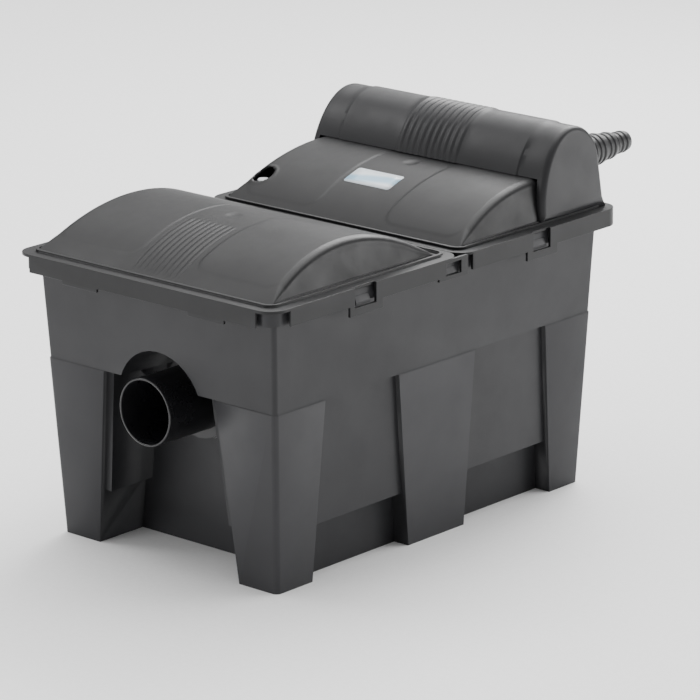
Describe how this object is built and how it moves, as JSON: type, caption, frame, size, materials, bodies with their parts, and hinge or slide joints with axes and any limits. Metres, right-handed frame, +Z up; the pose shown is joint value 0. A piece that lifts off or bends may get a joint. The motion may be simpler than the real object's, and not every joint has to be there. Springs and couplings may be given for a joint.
{
  "type": "flow-through pond filter",
  "caption": "Box-shaped gravity pond filter: tapered tub on legs, domed clip-on lids, arched ultraviolet clarifier hood, large round outlet and stepped hose tail.",
  "frame": {"origin": "centre of the tub's flat underside, on the floor", "axes": "+Z up, -Y towards the outlet pipe, +Y towards the hose connection, +X towards the side that the hose connection is on"},
  "size_m": [0.378, 0.6405, 0.4205],
  "materials": {
    "tub_plastic": "moulded charcoal with a fine sheen",
    "lid_plastic": "moulded charcoal, slightly glossier than the tub",
    "hood_plastic": "moulded dark charcoal",
    "pipe_plastic": "black pipe plastic",
    "black_plastic": "black moulded",
    "seal_rubber": "matt black rubber",
    "grid_plastic": "grey moulded",
    "blue_foam": "open-cell filter foam",
    "red_foam": "open-cell filter foam",
    "red_plastic": "red moulded",
    "quartz": "clear quartz",
    "lamp_glass": "clear lamp tube",
    "white_plastic": "white moulded",
    "steel": "stainless strap"
  },
  "bodies": {
    "tub": {"tub": "tub_plastic", "outlet_pipe": "pipe_plastic", "outlet_gasket": "seal_rubber", "outlet_nut": "black_plastic", "outlet_strainer": "grid_plastic", "drain_gasket": "seal_rubber", "drain_socket": "black_plastic", "drain_nut": "black_plastic", "foam_grid": "grid_plastic", "foam_holder_right": "grid_plastic", "blue_foam_right": "blue_foam", "red_foam_right": "red_foam", "foam_holder_left": "grid_plastic", "blue_foam_left": "blue_foam", "red_foam_left": "red_foam", "separator_wall": "grid_plastic", "media_tray": "grid_plastic", "uv_housing": "black_plastic", "uv_bridge": "grid_plastic", "uv_strap_left": "steel", "uv_strap_right": "steel", "hose_seal": "seal_rubber", "hose_tail": "black_plastic"},
    "front_lid": {"front_lid": "lid_plastic", "front_lid_seal": "seal_rubber"},
    "rear_lid": {"rear_lid": "lid_plastic", "indicator_guide": "black_plastic"},
    "hood": {"uv_hood": "hood_plastic"},
    "indicator": {"indicator_float": "white_plastic"},
    "bail_left": {"bail_left": "red_plastic"},
    "bail_right": {"bail_right": "red_plastic"},
    "lamp_head": {"uv_head": "black_plastic", "sleeve_seal": "seal_rubber", "quartz_sleeve": "quartz", "lamp_socket": "white_plastic", "uv_lamp": "lamp_glass", "cable_gland": "black_plastic"},
    "union_nut": {"union_nut": "black_plastic"},
    "drain_cap": {"drain_cap": "black_plastic", "drain_cap_seal": "seal_rubber"}
  },
  "joints": [
    {"name": "front_lid_lift", "type": "slide", "parent": "tub", "child": "front_lid", "axis": [0, 0, 1], "range_m": [0, 0.16]},
    {"name": "rear_lid_lift", "type": "slide", "parent": "tub", "child": "rear_lid", "axis": [0, 0, 1], "range_m": [0, 0.16]},
    {"name": "hood_lift", "type": "slide", "parent": "rear_lid", "child": "hood", "axis": [0, 0, 1], "range_m": [0, 0.14]},
    {"name": "indicator_rise", "type": "slide", "parent": "rear_lid", "child": "indicator", "axis": [0, 0, 1], "range_m": [0, 0.012]},
    {"name": "bail_left_fold", "type": "hinge", "parent": "tub", "child": "bail_left", "pos_m": [-0.0775, -0.066, 0.281], "axis": [0, -1, 0], "range_deg": [0, 70]},
    {"name": "bail_right_fold", "type": "hinge", "parent": "tub", "child": "bail_right", "pos_m": [0.0775, -0.066, 0.281], "axis": [0, -1, 0], "range_deg": [0, 70]},
    {"name": "lamp_head_turn", "type": "hinge", "parent": "tub", "child": "lamp_head", "pos_m": [-0.12, 0.226, 0.374], "axis": [-1, 0, 0], "range_deg": [0, 40]},
    {"name": "union_nut_turn", "type": "hinge", "parent": "tub", "child": "union_nut", "pos_m": [0.138, 0.272, 0.374], "axis": [0, 1, 0], "continuous": true},
    {"name": "drain_cap_turn", "type": "hinge", "parent": "tub", "child": "drain_cap", "pos_m": [0, 0.245, 0.031], "axis": [0, 1, 0], "continuous": true}
  ]
}
